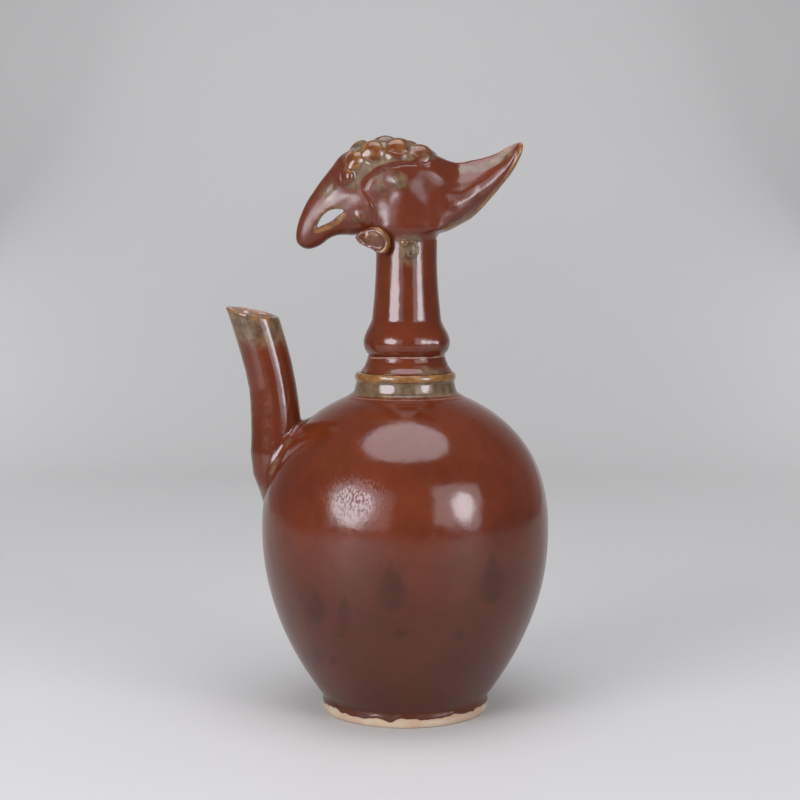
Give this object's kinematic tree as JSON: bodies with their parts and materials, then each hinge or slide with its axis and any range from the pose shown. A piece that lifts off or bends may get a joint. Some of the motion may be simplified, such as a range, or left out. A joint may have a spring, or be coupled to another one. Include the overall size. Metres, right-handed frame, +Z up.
{
  "type": "bird-headed ewer",
  "caption": "Tall ovoid stoneware ewer with a bird's head and swept-back plume on a slim neck, a curved spout on the shoulder and a flat foot.",
  "frame": {"origin": "middle of the flat underside of the foot", "axes": "+Z up along the axis of the body and neck; -X the way the beak and the spout point; Y = 0 is the plane between the two sides of the head"},
  "size_m": [0.1799, 0.1602, 0.3205],
  "materials": {
    "brown_glaze": "satin gloss iron-brown glaze",
    "olive_glaze": "glossy olive-brown glaze where it runs thin",
    "amber_glaze": "glossy amber glaze on edges",
    "bare_clay": "matt unglazed buff clay"
  },
  "bodies": {
    "root": {"foot": "bare_clay", "body_lower": "brown_glaze", "body_upper": "brown_glaze", "shoulder_collar": "olive_glaze", "neck_moulding": "brown_glaze", "neck_tube": "brown_glaze", "head_left": "brown_glaze", "head_right": "brown_glaze", "beak_upper": "brown_glaze", "beak_lower": "brown_glaze", "crest_lobe_left_1": "amber_glaze", "crest_lobe_left_2": "amber_glaze", "crest_lobe_left_3": "amber_glaze", "crest_lobe_left_4": "amber_glaze", "crest_lobe_left_5": "amber_glaze", "crest_lobe_right_1": "amber_glaze", "crest_lobe_right_2": "amber_glaze", "crest_lobe_right_3": "amber_glaze", "crest_lobe_right_4": "amber_glaze", "crest_lobe_right_5": "amber_glaze", "eye_left": "olive_glaze", "eye_right": "olive_glaze", "cheek_pellet_left": "olive_glaze", "cheek_pellet_right": "olive_glaze", "wattle_left": "amber_glaze", "wattle_right": "amber_glaze", "throat_scroll_left": "olive_glaze", "throat_scroll_right": "olive_glaze", "spout": "brown_glaze", "spout_fillet": "olive_glaze"}
  },
  "joints": []
}
